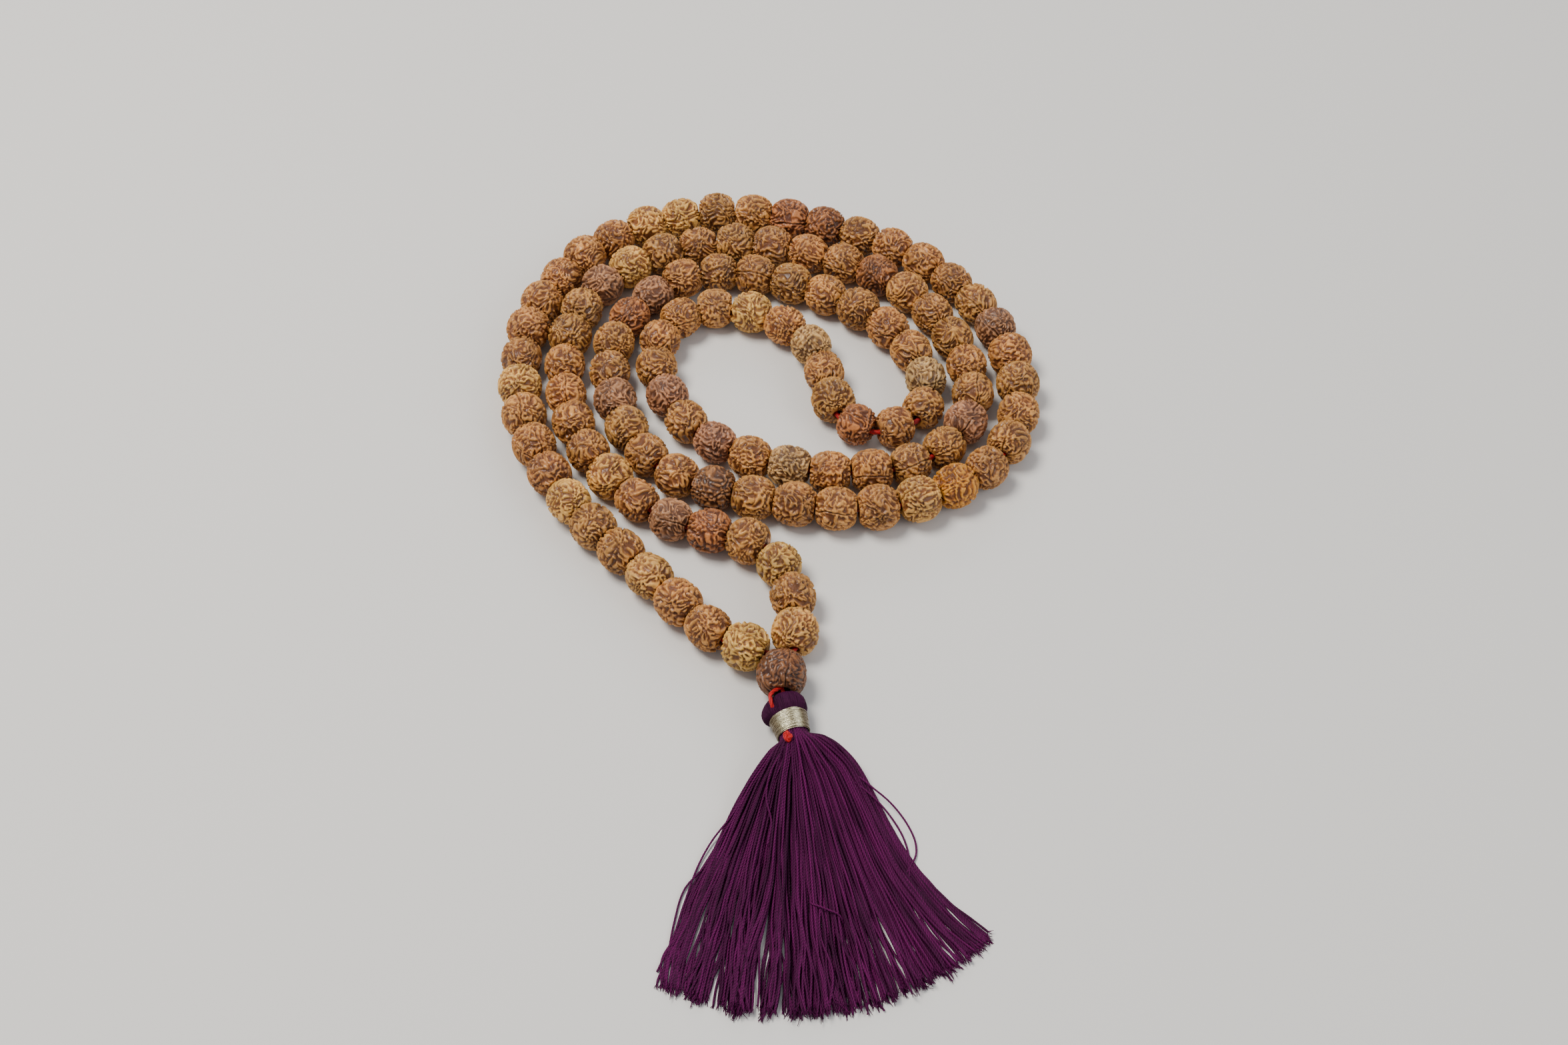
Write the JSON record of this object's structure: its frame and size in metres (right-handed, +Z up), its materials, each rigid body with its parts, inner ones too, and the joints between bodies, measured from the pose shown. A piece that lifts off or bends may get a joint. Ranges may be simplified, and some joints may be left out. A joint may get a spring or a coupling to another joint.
{
  "type": "mala prayer beads",
  "caption": "Strand of ribbed seed beads on a red cord, laid in loose turns, with a larger guru bead and a bound thread tassel.",
  "frame": {"origin": "on the surface the mala lies on, under the middle of its whole footprint", "axes": "+Z up from that surface, -Y from the coiled strand towards the tassel, +X to the right of the tassel seen from its cut ends"},
  "size_m": [0.1004, 0.1699, 0.008],
  "materials": {
    "seed_bead": "natural ridged seed shell, lightly oiled",
    "guru_bead": "darker worn seed shell with a soft polish",
    "red_cord": "twisted cotton cord",
    "tassel_thread": "plum cotton thread, two-ply",
    "binding_thread": "pale gold metallic thread"
  },
  "bodies": {
    "strand": {"beads_008_010": "seed_bead", "beads_011_013": "seed_bead", "beads_014_016": "seed_bead", "beads_017_019": "seed_bead", "beads_020_022": "seed_bead", "beads_023_025": "seed_bead", "beads_026_028": "seed_bead", "beads_034_036": "seed_bead", "beads_037_039": "seed_bead", "beads_040_042": "seed_bead", "beads_043_045": "seed_bead", "beads_046_048": "seed_bead", "beads_049_051": "seed_bead", "beads_052_054": "seed_bead", "beads_055_057": "seed_bead", "beads_063_065": "seed_bead", "beads_066_068": "seed_bead", "beads_069_071": "seed_bead", "beads_072_074": "seed_bead", "beads_075_077": "seed_bead", "beads_078_080": "seed_bead", "beads_081_083": "seed_bead", "beads_084_086": "seed_bead", "beads_087_089": "seed_bead", "beads_090_092": "seed_bead", "beads_093_095": "seed_bead", "beads_096_098": "seed_bead", "beads_099_101": "seed_bead", "beads_102_105": "seed_bead", "cord_coil": "red_cord"},
    "leads": {"cord_left_lead": "red_cord", "cord_right_lead": "red_cord"},
    "guru": {"guru_bead": "guru_bead", "guru_cord": "red_cord"},
    "tie": {"tie_neck": "red_cord"},
    "tassel": {"tassel_head": "tassel_thread", "tassel_binding": "binding_thread", "tie_cord": "red_cord"},
    "skirt": {"tassel_skirt": "tassel_thread", "tie_knot": "red_cord"},
    "bead_001": {"bead_001": "seed_bead"},
    "bead_002": {"bead_002": "seed_bead"},
    "bead_003": {"bead_003": "seed_bead"},
    "bead_004": {"bead_004": "seed_bead"},
    "bead_005": {"bead_005": "seed_bead"},
    "bead_006": {"bead_006": "seed_bead"},
    "bead_007": {"bead_007": "seed_bead"},
    "bead_029": {"bead_029": "seed_bead"},
    "bead_030": {"bead_030": "seed_bead"},
    "bead_031": {"bead_031": "seed_bead"},
    "bead_032": {"bead_032": "seed_bead"},
    "bead_033": {"bead_033": "seed_bead"},
    "bead_058": {"bead_058": "seed_bead"},
    "bead_059": {"bead_059": "seed_bead"},
    "bead_060": {"bead_060": "seed_bead"},
    "bead_061": {"bead_061": "seed_bead"},
    "bead_062": {"bead_062": "seed_bead"},
    "bead_106": {"bead_106": "seed_bead"},
    "bead_107": {"bead_107": "seed_bead"},
    "bead_108": {"bead_108": "seed_bead"}
  },
  "joints": [
    {"name": "leads_lift", "type": "hinge", "parent": "strand", "child": "leads", "pos_m": [-0.01807, 0.00255, 0.00382], "axis": [-0.9388, 0.3445, 0], "range_deg": [0, 25]},
    {"name": "guru_lift", "type": "hinge", "parent": "leads", "child": "guru", "pos_m": [0.00315, -0.0262, 0.0041], "axis": [-1, 0, 0], "range_deg": [0, 20]},
    {"name": "tassel_swing", "type": "hinge", "parent": "guru", "child": "tie", "pos_m": [0.00315, -0.03345, 0.0039], "axis": [0, 0, 1], "range_deg": [-20, 12]},
    {"name": "tassel_lift", "type": "hinge", "parent": "tie", "child": "tassel", "pos_m": [0.00315, -0.034, 0.0039], "axis": [-0.9613, -0.2756, 0], "range_deg": [0, 18]},
    {"name": "skirt_bend", "type": "hinge", "parent": "tassel", "child": "skirt", "pos_m": [0.0051, -0.0417, 0.0064], "axis": [-0.9613, -0.2756, 0], "range_deg": [0, 20]},
    {"name": "turn_bead_001", "type": "hinge", "parent": "leads", "child": "bead_001", "pos_m": [-0.00309, -0.02446, 0.00402], "axis": [-0.9353, 0.3538, 0], "continuous": true},
    {"name": "turn_bead_002", "type": "hinge", "parent": "leads", "child": "bead_002", "pos_m": [-0.00921, -0.02065, 0.00367], "axis": [-0.734, 0.6791, 0], "continuous": true},
    {"name": "turn_bead_003", "type": "hinge", "parent": "leads", "child": "bead_003", "pos_m": [-0.01447, -0.01542, 0.00387], "axis": [-0.6837, 0.7298, 0], "continuous": true},
    {"name": "turn_bead_004", "type": "hinge", "parent": "leads", "child": "bead_004", "pos_m": [-0.01957, -0.01003, 0.0038], "axis": [-0.6901, 0.7237, 0], "continuous": true},
    {"name": "turn_bead_005", "type": "hinge", "parent": "leads", "child": "bead_005", "pos_m": [-0.02476, -0.00473, 0.00383], "axis": [-0.7092, 0.705, 0], "continuous": true},
    {"name": "turn_bead_006", "type": "hinge", "parent": "leads", "child": "bead_006", "pos_m": [-0.0299, 0.00062, 0.0039], "axis": [-0.6763, 0.7366, 0], "continuous": true},
    {"name": "turn_bead_007", "type": "hinge", "parent": "leads", "child": "bead_007", "pos_m": [-0.03456, 0.00637, 0.00372], "axis": [-0.5801, 0.8145, 0], "continuous": true},
    {"name": "turn_bead_029", "type": "hinge", "parent": "strand", "child": "bead_029", "pos_m": [0.04385, 0.04857, 0.00382], "axis": [0.3636, -0.9315, 0], "continuous": true},
    {"name": "turn_bead_030", "type": "hinge", "parent": "strand", "child": "bead_030", "pos_m": [0.04595, 0.04149, 0.00404], "axis": [0.2051, -0.9787, 0], "continuous": true},
    {"name": "turn_bead_031", "type": "hinge", "parent": "strand", "child": "bead_031", "pos_m": [0.04687, 0.03416, 0.00394], "axis": [0.0428, -0.9991, 0], "continuous": true},
    {"name": "turn_bead_032", "type": "hinge", "parent": "strand", "child": "bead_032", "pos_m": [0.04641, 0.02681, 0.00376], "axis": [-0.1678, -0.9858, 0], "continuous": true},
    {"name": "turn_bead_033", "type": "hinge", "parent": "strand", "child": "bead_033", "pos_m": [0.04413, 0.01987, 0.00382], "axis": [-0.4507, -0.8927, 0], "continuous": true},
    {"name": "turn_bead_058", "type": "hinge", "parent": "strand", "child": "bead_058", "pos_m": [0.02986, 0.03547, 0.00377], "axis": [0.185, -0.9827, 0], "continuous": true},
    {"name": "turn_bead_059", "type": "hinge", "parent": "strand", "child": "bead_059", "pos_m": [0.02893, 0.02822, 0.00372], "axis": [-0.4344, -0.9007, 0], "continuous": true},
    {"name": "turn_bead_060", "type": "hinge", "parent": "strand", "child": "bead_060", "pos_m": [0.02362, 0.02364, 0.00372], "axis": [-0.9531, -0.3025, 0], "continuous": true},
    {"name": "turn_bead_061", "type": "hinge", "parent": "strand", "child": "bead_061", "pos_m": [0.01669, 0.02429, 0.00368], "axis": [-0.8735, 0.4868, 0], "continuous": true},
    {"name": "turn_bead_062", "type": "hinge", "parent": "strand", "child": "bead_062", "pos_m": [0.01245, 0.02993, 0.00397], "axis": [-0.2461, 0.9692, 0], "continuous": true},
    {"name": "turn_bead_106", "type": "hinge", "parent": "leads", "child": "bead_106", "pos_m": [0.00247, -0.0074, 0.00379], "axis": [0.5214, -0.8533, 0], "continuous": true},
    {"name": "turn_bead_107", "type": "hinge", "parent": "leads", "child": "bead_107", "pos_m": [0.00487, -0.01418, 0.00388], "axis": [0.1341, -0.991, 0], "continuous": true},
    {"name": "turn_bead_108", "type": "hinge", "parent": "leads", "child": "bead_108", "pos_m": [0.0052, -0.02154, 0.00394], "axis": [-0.0439, -0.999, 0], "continuous": true}
  ]
}
